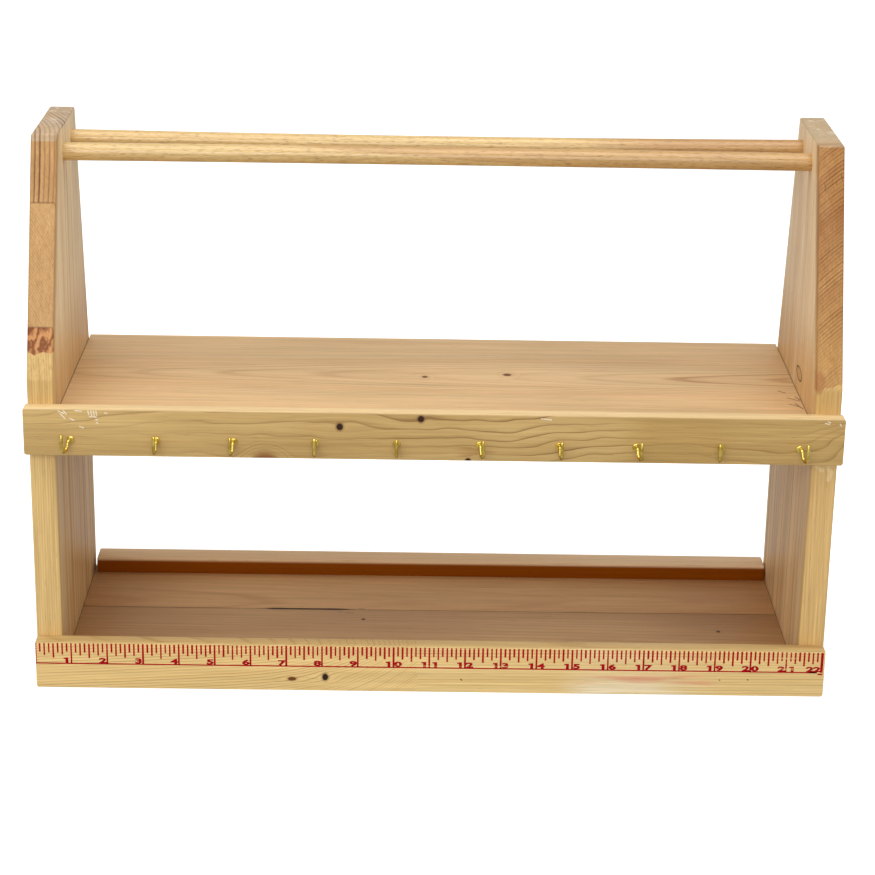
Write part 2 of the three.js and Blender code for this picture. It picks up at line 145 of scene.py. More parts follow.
# Node graphs
class Graph:
    """A material and the short calls that build its nodes."""

    def __init__(self, name):
        self.material = bpy.data.materials.new(name)
        self.material.use_nodes = True
        self.tree = self.material.node_tree
        self.shader = self.tree.nodes["Principled BSDF"].inputs

    def node(self, kind, **settings):
        made = self.tree.nodes.new(kind)
        for key, value in settings.items():
            setattr(made, key, value)
        return made

    def feed(self, socket, value):
        if isinstance(value, bpy.types.NodeSocket):
            self.tree.links.new(value, socket)
        elif value is not None:
            socket.default_value = value

    def math(self, operation, a, b=None, c=None):
        made = self.node("ShaderNodeMath", operation=operation)
        for socket, value in zip(made.inputs, (a, b, c)):
            self.feed(socket, value)
        return made.outputs[0]

    def add(self, a, b):
        return self.math("ADD", a, b)

    def sub(self, a, b):
        return self.math("SUBTRACT", a, b)

    def mul(self, a, b):
        return self.math("MULTIPLY", a, b)

    def div(self, a, b):
        return self.math("DIVIDE", a, b)

    def scale_add(self, value, factor, offset):
        return self.math("MULTIPLY_ADD", value, factor, offset)

    def power(self, value, exponent):
        return self.math("POWER", value, exponent)

    def absolute(self, value):
        return self.math("ABSOLUTE", value)

    def largest(self, a, b):
        return self.math("MAXIMUM", a, b)

    def smallest(self, a, b):
        return self.math("MINIMUM", a, b)

    def over(self, value, edge):
        """One where the value is past the edge."""
        return self.math("GREATER_THAN", value, edge)

    def under(self, value, edge):
        """One where the value is short of the edge."""
        return self.math("LESS_THAN", value, edge)

    def smooth(self, value, low, high, out_low=0.0, out_high=1.0):
        made = self.node("ShaderNodeMapRange", interpolation_type="SMOOTHSTEP")
        for socket, given in zip(made.inputs, (value, low, high, out_low, out_high)):
            self.feed(socket, given)
        return made.outputs[0]

    def fall(self, value, low, high):
        """One up to low, fading to nothing at high."""
        return self.smooth(value, low, high, 1.0, 0.0)

    def position(self):
        coordinates = self.node("ShaderNodeTexCoord").outputs["Object"]
        split = self.node("ShaderNodeSeparateXYZ")
        self.feed(split.inputs[0], coordinates)
        return split.outputs[0], split.outputs[1], split.outputs[2]

    def vector(self, x, y, z):
        made = self.node("ShaderNodeCombineXYZ")
        for socket, value in zip(made.inputs, (x, y, z)):
            self.feed(socket, value)
        return made.outputs[0]

    def noise(self, place, scale=1.0, detail=2.0, roughness=0.5):
        made = self.node("ShaderNodeTexNoise")
        self.feed(made.inputs["Vector"], place)
        made.inputs["Scale"].default_value = scale
        made.inputs["Detail"].default_value = detail
        made.inputs["Roughness"].default_value = roughness
        return made.outputs["Fac"]

    def stretched(self, xyz, scales, shift=0.0, detail=2.0, roughness=0.5):
        place = self.vector(*[self.scale_add(v, s, shift) for v, s in zip(xyz, scales)])
        return self.noise(place, detail=detail, roughness=roughness)

    def ramp(self, value, stops, interpolation="EASE"):
        made = self.node("ShaderNodeValToRGB")
        made.color_ramp.interpolation = interpolation
        while len(made.color_ramp.elements) < len(stops):
            made.color_ramp.elements.new(0.5)
        for element, (at, colour) in zip(made.color_ramp.elements, stops):
            element.position = at
            element.color = colour if len(colour) == 4 else (*colour, 1)
        self.feed(made.inputs[0], value)
        return made.outputs[0]

    def mix(self, factor, a, b, blend="MIX"):
        made = self.node("ShaderNodeMix", data_type="RGBA", blend_type=blend)
        self.feed(made.inputs["Factor"], factor)
        for socket, value in ((made.inputs[6], a), (made.inputs[7], b)):
            if isinstance(value, tuple) and len(value) == 3:
                value = (*value, 1)
            self.feed(socket, value)
        return made.outputs[2]

    def steps(self, value, edges, levels):
        """One level before the first edge, the next after it, and so on."""
        total = levels[0]
        for edge, before, after in zip(edges, levels, levels[1:]):
            passed = self.over(value, edge)
            total = self.scale_add(passed, after - before, total)
        return total

    def bump(self, height, distance, strength=1.0):
        made = self.node("ShaderNodeBump")
        made.inputs["Strength"].default_value = strength
        made.inputs["Distance"].default_value = distance
        self.feed(made.inputs["Height"], height)
        self.feed(self.shader["Normal"], made.outputs[0])


def linear(r, g, b):
    """A colour given as 0 to 255 screen values."""
    out = []
    for v in (r, g, b):
        s = v / 255
        out.append(s / 12.92 if s <= 0.04045 else ((s + 0.055) / 1.055) ** 2.4)
    return tuple(out)


# Wood
AXES = {"X": (0, 1, 2), "Z": (2, 0, 1)}
WHITE_SCUFF = linear(244, 236, 216)
DIRT = linear(62, 38, 22)


class Wood(Graph):
    """Solid pine: rings round a pith line that runs along the grain, with fibres drawn out along it."""

    def __init__(self, name, grain, shift):
        super().__init__(name)
        self.xyz = self.position()
        self.along, self.across, self.deep = [self.xyz[i] for i in AXES[grain]]
        self.shift = shift

    def part_round(self, centre, radii, amount):
        """Pushes the grain of a rail apart above and below a knot."""
        far = self.oval(self.xyz[0], self.xyz[2], centre, radii)
        squeeze = self.smooth(far, 0.0, 1.0, amount, 0.0)
        off = self.sub(self.deep, centre[1] * MM)
        self.deep = self.sub(self.deep, self.mul(off, squeeze))

    def grained(self, lengthwise, crosswise, offset=0.0, detail=2.0, roughness=0.5):
        """Noise drawn out along the grain, by its waves per metre along and across it."""
        scales = (lengthwise, crosswise, crosswise)
        shift = self.shift + offset
        return self.stretched((self.along, self.across, self.deep), scales, shift, detail, roughness)

    def rings(self, pith, lean, spacing, sway, slow=4.0, bend=None):
        """Rings counted outwards from the pith line; sway is how many rings noise pushes a line about."""
        a = self.sub(self.sub(self.across, pith[0]), self.mul(self.along, lean[0]))
        b = self.sub(self.sub(self.deep, pith[1]), self.mul(self.along, lean[1]))
        radius = self.math("SQRT", self.add(self.mul(a, a), self.mul(b, b)))
        if bend is not None:
            radius = self.add(radius, bend)
        wave = self.grained(slow, 18.0, 0.0, 3.0)
        pushed = self.scale_add(wave, 2 * sway, -sway)
        return self.add(self.div(radius, spacing), pushed)

    def late(self, count, contrast, thin=0.80):
        """Dark late wood: it comes in slowly across a ring and stops at its edge."""
        phase = self.math("FRACT", count)
        grey = [(0.0, 0.0), (thin - 0.3, 0.04), (thin - 0.06, 0.35),
                (thin, 0.9), (thin + 0.06, 1.0), (1.0, 0.0)]
        line = self.ramp(phase, [(at, (v, v, v)) for at, v in grey])
        which = self.node("ShaderNodeTexWhiteNoise", noise_dimensions="1D")
        self.feed(which.inputs["W"], self.math("FLOOR", count))
        strength = self.scale_add(which.outputs["Value"], 0.75, 0.25)
        return self.mul(line, self.mul(strength, contrast))

    def bands(self, count, rings):
        """Slow drift from ring to ring, as wide as a few rings."""
        return self.noise(self.vector(self.div(count, rings), self.shift, 0.0), detail=2.0)

    def pick(self, value, edges, colours):
        """One colour before the first edge, the next after it, and so on."""
        colour = (*colours[0], 1)
        for edge, after in zip(edges, colours[1:]):
            colour = self.mix(self.over(value, edge), colour, after)
        return colour

    def oval(self, u, v, centre, radii):
        """Distance from an oval's middle, counted in its own radii."""
        a = self.div(self.sub(u, centre[0] * MM), radii[0] * MM)
        b = self.div(self.sub(v, centre[1] * MM), radii[1] * MM)
        return self.math("SQRT", self.add(self.mul(a, a), self.mul(b, b)))

    def stroke(self, u, v, start, end, width):
        """Cover of a line from start to end, in millimetres on two axes, fading over its width."""
        run = (end[0] - start[0], end[1] - start[1])
        length = run[0] ** 2 + run[1] ** 2
        a = self.scale_add(u, 1 / MM, -start[0])
        b = self.scale_add(v, 1 / MM, -start[1])
        share = self.scale_add(a, run[0] / length, self.mul(b, run[1] / length))
        share = self.largest(self.smallest(share, 1.0), 0.0)
        a = self.sub(a, self.mul(share, run[0]))
        b = self.sub(b, self.mul(share, run[1]))
        far = self.math("SQRT", self.add(self.mul(a, a), self.mul(b, b)))
        return self.fall(far, width * 0.35, width)

    def strokes(self, u, v, lines, width):
        total = 0.0
        for x0, v0, x1, v1 in lines:
            total = self.largest(total, self.stroke(u, v, (x0, v0), (x1, v1), width))
        return total

    def knot(self, colour, far, edge, heart):
        """A dark knot with rings of its own and a thin black rim."""
        own = self.math("FRACT", self.mul(far, 2.6))
        body = self.mix(self.mul(own, 0.3), heart, edge)
        rim = self.mul(self.smooth(far, 0.72, 0.92), self.fall(far, 1.0, 1.2))
        colour = self.mix(self.smooth(far, 1.0, 2.0, 0.5, 0.0), colour, edge)
        colour = self.mix(self.fall(far, 0.95, 1.05), colour, body)
        return self.mix(self.mul(rim, 0.75), colour, DIRT)

    def fibres(self, colour, strength=0.5, flecks=0.3):
        """Fine light and dark lines along the grain, and short dark flecks."""
        fine = self.grained(13.0, 700.0, 1.7, 4.0, 0.75)
        broad = self.grained(4.0, 170.0, 2.9, 3.0, 0.6)
        shade = self.scale_add(fine, strength, 1 - strength / 2)
        shade = self.mul(shade, self.scale_add(broad, 0.5 * strength, 1 - 0.25 * strength))
        deep = self.power(shade, 1.35)
        colour = self.mix(1.0, colour, self.vector(shade, self.power(shade, 1.15), deep), "MULTIPLY")
        dash = self.smooth(self.grained(70.0, 1300.0, 5.3, 1.0), 0.66, 0.76, 0.0, flecks)
        colour = self.mix(dash, colour, linear(116, 74, 40))
        self.fine = fine
        return colour

    def clouds(self, colour, tint, amount, lengthwise=5.0, crosswise=14.0, offset=8.0):
        cloud = self.grained(lengthwise, crosswise, offset, 3.0)
        return self.mix(self.smooth(cloud, 0.38, 0.66, 0.0, amount), colour, tint)

    def varnish(self, colour, late, gloss=0.44, shine=0.22, relief=0.00010):
        self.feed(self.shader["Base Color"], colour)
        rough = self.grained(6.0, 60.0, 11.0, 3.0)
        self.feed(self.shader["Roughness"], self.scale_add(rough, 0.24, gloss - 0.12))
        self.shader["Specular IOR Level"].default_value = shine
        height = self.scale_add(late, -0.7, self.mul(self.fine, 0.6))
        self.bump(height, relief, 0.6)
        return self.material


# Ends
END_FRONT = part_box("left_end")[0].y
END_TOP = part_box("left_end")[1].z
INNER_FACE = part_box("right_end")[0].x
FRONT_SLOPE_FOOT = 227 * MM
FRONT_SLOPE_SETBACK = 61 * MM
REAR_SLOPE_FOOT = 199.5 * MM
REAR_SLOPE_SETBACK = 36 * MM
FRONT_NIP = 4 * MM
REAR_NIP = 6 * MM
SHELF_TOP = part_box("upper_shelf")[1].z

# Run of the front slope, foot of the left end's nipped corner and the way its facet faces: depth, height
FRONT_RUN = Vector((FRONT_SLOPE_SETBACK, END_TOP - FRONT_SLOPE_FOOT)).normalized()
NIP_FOOT = Vector((END_FRONT + FRONT_SLOPE_SETBACK, END_TOP)) - FRONT_NIP * FRONT_RUN
NIP_OUT = Vector((-FRONT_RUN.y, 1 + FRONT_RUN.x)).normalized()

# Painted shade: darkening of the front edges just above the hook rail
FRONT_EDGE_SHADE = (0.82, 0.78, 0.72)
FRONT_EDGE_SHADE_FROM = 202 * MM
FRONT_EDGE_SHADE_FULL = 214 * MM


def behind_front(w):
    """Depth of a point behind an end's front edge, which leans back above the rail."""
    y, z = w.xyz[1:]
    lean = FRONT_SLOPE_SETBACK / (END_TOP - FRONT_SLOPE_FOOT)
    back = w.largest(w.mul(w.sub(z, FRONT_SLOPE_FOOT), lean), 0.0)
    return w.sub(w.sub(y, END_FRONT), back)


def end_face(w, late, front_colours, by, edges, inner, top, nipped=False):
    """Colours an end: warm along its front edge, greyer on the inner and outer faces and on the end grain,
    with painted shade on the front edge just above the hook rail.
    """
    y, z = w.xyz[1:]
    lip = w.fall(behind_front(w), 1.5 * MM, 16 * MM)
    pale = w.mix(lip, inner[0], w.pick(by, edges, [pair[0] for pair in front_colours]))
    dark = w.mix(lip, inner[1], w.pick(by, edges, [pair[1] for pair in front_colours]))
    roof = w.smooth(z, END_TOP - 1.6 * MM, END_TOP - 0.6 * MM)
    if nipped:
        facet = w.add(w.mul(w.sub(y, NIP_FOOT[0]), NIP_OUT[0]), w.mul(w.sub(z, NIP_FOOT[1]), NIP_OUT[1]))
        roof = w.largest(roof, w.smooth(facet, -0.7 * MM, -0.3 * MM))
    pale = w.mix(roof, pale, top[0])
    dark = w.mix(roof, dark, top[1])
    colour = w.mix(late, pale, dark)
    # Painted shade multiplied into the front edge just above the hook rail
    edge_shade = w.mul(w.smooth(z, FRONT_EDGE_SHADE_FROM, FRONT_EDGE_SHADE_FULL), w.under(by, edges[0]))
    return w.mix(w.mul(edge_shade, lip), colour, FRONT_EDGE_SHADE, "MULTIPLY"), lip


def inner_side(w):
    """One on an end's inner face, nothing on its outer face."""
    return w.fall(w.absolute(w.xyz[0]), INNER_FACE + 0.4 * MM, INNER_FACE + 1.6 * MM)


def rubbed_streaks(w, colour, amount):
    """Whitish streaks along the grain, away from the front edge."""
    far = w.smooth(behind_front(w), 22 * MM, 60 * MM)
    streak = w.smooth(w.grained(7.0, 120.0, 21.0, 2.0), 0.56, 0.74, 0.0, amount)
    return w.mix(w.mul(far, streak), colour, linear(236, 224, 204))


def warm_above_shelf(w, colour, lip):
    """Warmer wood on an end's inner face, low down over the upper shelf."""
    z = w.xyz[2]
    warm = w.smooth(z, SHELF_TOP + 10 * MM, SHELF_TOP + 75 * MM, 0.75, 0.0)
    warm = w.mul(warm, w.over(z, SHELF_TOP - 20 * MM))
    warm = w.mul(warm, inner_side(w))
    return w.mix(w.mul(warm, w.sub(1.0, lip)), colour, linear(205, 158, 94))


# Painted shade laid over the inner faces beside the lower shelf, under the upper shelf
LEFT_BAY_SHADE = (1.08, 0.98, 0.77)
RIGHT_BAY_SHADE = (1.12, 1.07, 0.94)


def lower_bay_age(w, colour, shade):
    """Painted shade on the faces beside the lower shelf, behind the front edge: greyer brown, streaked along
    the grain.
    """
    z = w.xyz[2]
    low = w.fall(z, SHELF_TOP - 25 * MM, SHELF_TOP - 12 * MM)
    low = w.mul(low, inner_side(w))
    back = w.smooth(behind_front(w), 2 * MM, 40 * MM)
    # Painted shade: the lower bay's faces multiplied darker
    bay_shaded = w.mix(1.0, colour, shade, "MULTIPLY")
    streak = w.smooth(w.grained(2.0, 150.0, 27.0, 2.0), 0.45, 0.62, 0.0, 0.45)
    return w.mix(w.mul(low, back), colour, w.mix(streak, bay_shaded, linear(164, 116, 70)))


def seam_at_shelf(w, colour):
    """Dark line where the shelf meets the end."""
    near = w.smooth(w.absolute(w.sub(w.xyz[2], SHELF_TOP)), 0.1 * MM, 0.6 * MM, 0.5, 0.0)
    return w.mix(w.mul(near, inner_side(w)), colour, DIRT)


def left_end_pine():
    w = Wood("left_end_pine", "Z", 0.0)
    x, y, z = w.xyz
    edges = [-73.4 * MM, -42.5 * MM, 44 * MM]
    pith = (w.steps(y, edges, [-0.4500, -0.3745, -0.4000, -0.3600]),
            w.steps(y, edges, [-0.115, -0.229, -0.034, 0.10]))
    spacing = w.steps(y, edges, [1.7 * MM, 0.95 * MM, 3.3 * MM, 3.0 * MM])
    contrast = w.steps(y, edges, [0.6, 0.55, 1.5, 0.9])
    count = w.rings(pith, (0.004, 0.0), spacing, 0.45)
    late = w.smallest(w.late(count, contrast, 0.66), 1.0)
    front = [(linear(230, 198, 134), linear(176, 128, 68)), (linear(190, 149, 98), linear(152, 100, 56)),
             (linear(182, 138, 88), linear(88, 40, 14)), (linear(212, 170, 118), linear(150, 96, 56))]
    inner = (linear(240, 216, 174), linear(216, 184, 142))
    top = (linear(184, 160, 132), linear(112, 84, 60))
    colour, lip = end_face(w, late, front, y, edges, inner, top, True)
    swirl = w.noise(w.vector(w.mul(x, 95.0), 0.0, w.mul(z, 62.0)), 1.0, 3.0, 0.6)
    slant = w.scale_add(x, 190.0, w.mul(z, -120.0))
    curl = w.math("PINGPONG", w.scale_add(swirl, 7.0, slant), 1.0)
    burl = w.mix(w.smooth(curl, 0.2, 0.9), linear(198, 140, 86), linear(128, 68, 32))
    border = w.scale_add(swirl, 14 * MM, 237 * MM)
    patch = w.mul(w.over(z, border), w.under(y, edges[0]))
    patch = w.mul(patch, w.fall(behind_front(w), 3 * MM, 7 * MM))
    colour = w.mix(patch, colour, burl)
    colour = warm_above_shelf(w, colour, lip)
    colour = rubbed_streaks(w, colour, 0.65)
    colour = lower_bay_age(w, colour, LEFT_BAY_SHADE)
    colour = w.clouds(colour, linear(204, 164, 110), 0.25, 3.0, 30.0)
    colour = seam_at_shelf(w, colour)
    glue = 0.0
    for edge in edges:
        off = w.absolute(w.sub(y, edge))
        glue = w.largest(glue, w.smooth(off, 0.1 * MM, 0.35 * MM, 0.45, 0.0))
    colour = w.mix(glue, colour, linear(96, 56, 28))
    colour = w.fibres(colour, 0.8, 0.35)
    return w.varnish(colour, late)


def right_end_pine():
    w = Wood("right_end_pine", "Z", 4.0)
    x, y, z = w.xyz
    edges = [230 * MM]
    count = w.rings((0.3957, -0.482), (0.0, 0.012), 0.95 * MM, 0.5)
    slanted = w.scale_add(w.sub(x, INNER_FACE), -0.45, z)
    slanted = w.scale_add(w.grained(40.0, 90.0, 31.0, 2.0), 10 * MM, slanted)
    contrast = w.steps(slanted, edges, [0.5, 1.2])
    late = w.late(count, contrast, 0.70)
    front = [(linear(226, 191, 126), linear(190, 147, 90)), (linear(178, 131, 76), linear(90, 48, 20))]
    inner = (linear(238, 211, 170), linear(214, 178, 134))
    top = (linear(186, 164, 131), linear(152, 124, 92))
    colour, lip = end_face(w, w.mul(late, 0.9), front, slanted, edges, inner, top)
    band = w.smooth(w.bands(count, 9.0), 0.40, 0.62, 0.0, 0.55)
    band = w.mul(band, w.smooth(z, 258 * MM, 300 * MM, 0.15, 1.0))
    colour = w.mix(w.mul(band, lip), colour, linear(140, 84, 42))
    golden = w.mul(w.smooth(z, 240 * MM, 285 * MM, 0.5, 0.0), w.over(slanted, edges[0]))
    colour = w.mix(w.mul(golden, lip), colour, linear(196, 152, 92))
    red_heart = w.smooth(w.oval(x, z, (263.5, 232), (6, 9)), 0.6, 1.0, 0.55, 0.0)
    colour = w.mix(w.mul(red_heart, lip), colour, linear(160, 98, 56))
    high = w.mul(w.smooth(z, 300 * MM, 330 * MM), w.smooth(z, 350 * MM, 375 * MM, 1.0, 0.2))
    colour = w.mix(w.mul(w.mul(high, lip), 0.3), colour, linear(136, 80, 40))
    colour = warm_above_shelf(w, colour, lip)
    knot = w.oval(y, z, (-8, 214), (12.5, 4.9))
    inside = w.under(x, INNER_FACE + 2 * MM)
    rim = w.mul(w.smooth(knot, 0.72, 0.86), w.fall(knot, 0.98, 1.1))
    colour = w.mix(w.mul(w.smooth(knot, 0.7, 1.0, 0.5, 0.0), inside), colour, linear(184, 138, 96))
    colour = w.mix(w.mul(w.mul(rim, inside), 0.9), colour, linear(62, 36, 22))
    colour = rubbed_streaks(w, colour, 0.6)
    colour = lower_bay_age(w, colour, RIGHT_BAY_SHADE)
    colour = w.clouds(colour, linear(200, 158, 108), 0.22, 3.0, 34.0)
    cracks = [(278.0, 367, 278.9, 362), (266.2, 361, 267.2, 358.5), (267.2, 358.5, 266.8, 356),
              (274.2, 362, 275.0, 360)]
    colour = w.mix(w.mul(w.strokes(x, z, cracks, 0.45), w.mul(lip, 0.5)), colour, linear(70, 40, 24))
    glue = [(264, 174, 277, 173), (273, 173, 276.5, 167), (276.5, 167, 275, 162), (266, 172, 270, 169)]
    colour = w.mix(w.mul(w.strokes(x, z, glue, 2.4), w.mul(lip, 0.4)), colour, linear(246, 224, 176))
    colour = seam_at_shelf(w, colour)
    colour = w.fibres(colour, 0.8, 0.35)
    return w.varnish(colour, late)


# Shelves
def joint_dirt(w, colour):
    """Dirt in the corners where a shelf meets the ends."""
    near = w.smooth(w.absolute(w.xyz[0]), INNER_FACE - 0.8 * MM, INNER_FACE - 0.2 * MM, 0.0, 0.6)
    return w.mix(near, colour, DIRT)


def upper_shelf_pine():
    w = Wood("upper_shelf_pine", "X", 2.0)
    x, y = w.xyz[:2]
    knots = [w.oval(x, y, (-6.7, 16.4), (1.8, 2.0)), w.oval(x, y, (53.6, 23.7), (2.6, 2.4))]
    count = w.rings((0.02, 0.145), (0.0, 0.03), 1.9 * MM, 1.1, 2.5)
    for far in knots:
        count = w.add(count, w.smooth(far, 0.5, 4.5, 1.6, 0.0))
    share = w.smooth(x, -0.2, 0.25, 0.6, 1.0)
    late = w.late(count, share, 0.7)
    colour = w.mix(late, linear(204, 175, 131), linear(146, 100, 58))
    colour = w.mix(w.smooth(w.bands(count, 6.0), 0.42, 0.6, 0.0, 0.35), colour, linear(204, 156, 106))
    colour = w.clouds(colour, linear(220, 182, 136), 0.5, 4.0, 16.0)
    for far in knots:
        colour = w.knot(colour, far, linear(150, 92, 50), linear(104, 54, 26))
    cracks = [(248.6, -5.1, 253.1, -9.4), (253, -20.6, 261.4, -27), (259.1, -18.1, 261.5, -24),
              (252.5, -34, 259.5, -40.3), (257, -33, 261, -44.6)]
    colour = w.mix(w.mul(w.strokes(x, y, cracks, 0.8), 0.8), colour, linear(72, 42, 28))
    colour = joint_dirt(w, colour)
    colour = w.fibres(colour, 0.7, 0.25)
    return w.varnish(colour, late, 0.5)


GLUE_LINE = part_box("lower_shelf_rear_board")[0].y


def lower_shelf_pine():
    w = Wood("lower_shelf_pine", "X", 6.0)
    x, y = w.xyz[:2]
    knots = [w.oval(x, y, (-50.1, 2.7), (1.1, 1.3)), w.oval(x, y, (214.8, -11.9), (1.2, 1.4))]
    rear = w.over(y, GLUE_LINE)
    count = w.rings((w.scale_add(rear, 0.11, -0.07), 0.12), (0.02, 0.02), 2.4 * MM, 1.2, 2.5)
    late = w.late(count, 0.5, 0.7)
    colour = w.mix(late, linear(218, 180, 132), linear(164, 116, 74))
    colour = w.mix(w.mul(rear, 0.3), colour, linear(208, 158, 104))
    colour = w.clouds(colour, linear(194, 152, 110), 0.6, 4.0, 14.0)
    # Painted shade: darker towards both ends of the shelf, beside the end boards
    corner = w.smooth(w.absolute(x), 130 * MM, 250 * MM, 0.0, 0.55)
    colour = w.mix(corner, colour, linear(166, 120, 78))
    for far in knots:
        colour = w.knot(colour, far, linear(120, 78, 50), linear(64, 38, 24))
    seam = w.absolute(w.sub(y, GLUE_LINE))
    ragged = w.grained(30.0, 10.0, 2.0, 3.0)
    open_part = w.mul(w.smooth(x, -0.128, -0.118), w.fall(x, -0.070, -0.055))
    width = w.scale_add(w.mul(open_part, ragged), 2.4 * MM, 0.42 * MM)
    line = w.under(seam, width)
    depth = w.scale_add(open_part, 0.2, 0.75)
    colour = w.mix(w.mul(line, depth), colour, linear(48, 30, 26))
    fleck = [(-70, 16, -66, 15.6), (-64, 14.6, -58, 14.0), (-54, 22, -50, 22.4)]
    colour = w.mix(w.mul(w.strokes(x, y, fleck, 0.6), 0.6), colour, linear(60, 38, 28))
    colour = joint_dirt(w, colour)
    colour = w.fibres(colour, 0.65, 0.3)
    return w.varnish(colour, late, 0.5)


STRIP_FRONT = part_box("rear_strip")[0].y


def rear_strip_pine():
    w = Wood("rear_strip_pine", "X", 8.0)
    y, z = w.xyz[1:]
    count = w.rings((0.16, -0.05), (0.0, 0.02), 2.2 * MM, 0.8)
    late = w.late(count, 0.55)
    # Painted shade: a dark orange-brown front face, pale tan on the top and back
    upper = w.smooth(z, 21 * MM, 24 * MM)
    rise = w.largest(upper, w.smooth(y, STRIP_FRONT + 1 * MM, STRIP_FRONT + 6 * MM))
    pale = w.mix(rise, linear(130, 64, 0), linear(236, 208, 172))
    dark = w.mix(rise, linear(108, 50, 0), linear(190, 144, 100))
    colour = w.mix(late, pale, dark)
    cloud = w.mix(rise, linear(124, 60, 0), linear(206, 166, 120))
    colour = w.clouds(colour, cloud, 0.4)
    colour = w.fibres(colour, 0.35, 0.2)
    return w.varnish(colour, late, 0.6, 0.06)


# Rails
SCUFFS = [(-258, 208.4, -254, 206.6), (-254.6, 209.2, -252.4, 206.0), (-256.6, 206.4, -253.4, 203.0),
          (-250.2, 203.3, -247.4, 201.7), (-246.6, 208.8, -242, 208.5), (-237.6, 208.6, -237.0, 206.0),
          (-235.6, 208.6, -235.0, 205.4), (-233.8, 208.6, -233.2, 204.8), (-232.1, 208.4, -231.6, 205.6),
          (-236.6, 204.7, -231.6, 204.2), (-232.4, 202.5, -231.2, 202.2), (-231.9, 200.4, -231.0, 199.6),
          (-243.6, 197.3, -241.0, 196.4), (-226.2, 207.4, -224.6, 207.1), (268.4, 207.0, 271.2, 206.2),
          (270.2, 208.2, 271.8, 207.4), (278.4, 206.6, 279.6, 204.8), (73, 207.4, 80, 206.7)]


def hook_rail_pine():
    w = Wood("hook_rail_pine", "X", 1.0)
    x, y, z = w.xyz
    left_knot = w.oval(x, z, (-65.2, 199.6), (2.1, 2.3))
    middle_knot = w.oval(x, z, (-9.5, 206.0), (2.0, 2.2))
    low_knot = w.oval(x, z, (23.4, 176.4), (1.6, 1.4))
    half_knot = w.oval(x, z, (-116.8, 174.5), (13.5, 10.0))
    end_arch = w.oval(x, z, (300, 196), (27, 12))
    w.part_round((-65.2, 199.6), (48, 13), 0.8)
    w.part_round((-9.5, 206.0), (34, 9), 0.75)
    w.part_round((23.4, 176.4), (26, 8), 0.7)
    count = w.rings((-0.071, 0.238), (0.0, 0.02), 5.6 * MM, 2.6, 8.0)
    count = w.add(count, w.smooth(half_knot, 0.5, 1.6, 2.8, 0.0))
    count = w.add(count, w.smooth(end_arch, 0.3, 1.9, 2.6, 0.0))
    shown = w.smooth(w.grained(5.0, 45.0, 17.0, 2.0), 0.36, 0.62, 0.2, 1.0)
    shown = w.mul(shown, w.smooth(x, -0.19, -0.12, 0.45, 1.0))
    near_arch = w.largest(w.fall(half_knot, 1.2, 1.6), w.fall(end_arch, 1.0, 1.7))
    shown = w.largest(shown, near_arch)
    late = w.late(count, shown, 0.88)
    colour = w.mix(late, linear(203, 172, 114), linear(104, 62, 26))
    # Painted shade: the rail darkens from x = 120 mm, most between 155 and 180 mm
    shade = w.mul(w.smooth(x, 0.120, 0.155), w.smooth(x, 0.180, 0.215, 0.7, 0.4))
    colour = w.mix(shade, colour, linear(176, 142, 82))
    colour = w.mix(w.smooth(w.bands(count, 3.0), 0.42, 0.62, 0.0, 0.3), colour, linear(184, 144, 84))
    colour = w.clouds(colour, linear(184, 150, 94), 0.5, 7.0, 20.0)
    core = w.smooth(half_knot, 0.25, 0.95, 0.75, 0.0)
    colour = w.mix(core, colour, linear(138, 80, 40))
    teeth = w.noise(w.vector(w.mul(x, 900.0), 0.0, w.mul(z, 60.0)), 1.0, 2.0)
    reach = w.smooth(x, 14 * MM, 47 * MM, 4.2 * MM, 0.0)
    reach = w.scale_add(w.sub(teeth, 0.5), 2.6 * MM, reach)
    off = w.absolute(w.sub(z, 182.6 * MM))
    spike = w.mul(w.under(off, reach), w.smooth(x, 12 * MM, 26 * MM))
    spike = w.mul(spike, w.smooth(off, 0.0, 4 * MM, 0.35, 0.8))
    colour = w.mix(w.mul(spike, 0.7), colour, linear(150, 98, 44))
    for far in (left_knot, middle_knot, low_knot):
        colour = w.knot(colour, far, linear(104, 60, 28), linear(30, 14, 8))
    # Painted light: a paler top face
    painted_top_light = w.smooth(z, 208.6 * MM, 209.8 * MM, 0.0, 0.6)
    colour = w.mix(painted_top_light, colour, linear(236, 208, 160))
    colour = w.fibres(colour, 0.65, 0.25)
    front = w.under(y, RAIL_FRONT + 1.2 * MM)
    broken = w.smooth(w.noise(w.vector(w.mul(x, 1400.0), 0.0, w.mul(z, 1400.0)), 1.0, 2.0), 0.34, 0.5)
    scuff = w.mul(w.mul(w.strokes(x, z, SCUFFS, 0.55), broken), front)
    colour = w.mix(w.mul(scuff, 0.85), colour, WHITE_SCUFF)
    return w.varnish(colour, late, 0.42)


FINGER_JOINT = -10.7 * MM
# Where the grain left of the joint starts to climb, over what length, and how steeply it ends
CLIMB_START = -0.16
CLIMB_LENGTH = 0.15
CLIMB_SLOPE = 0.75


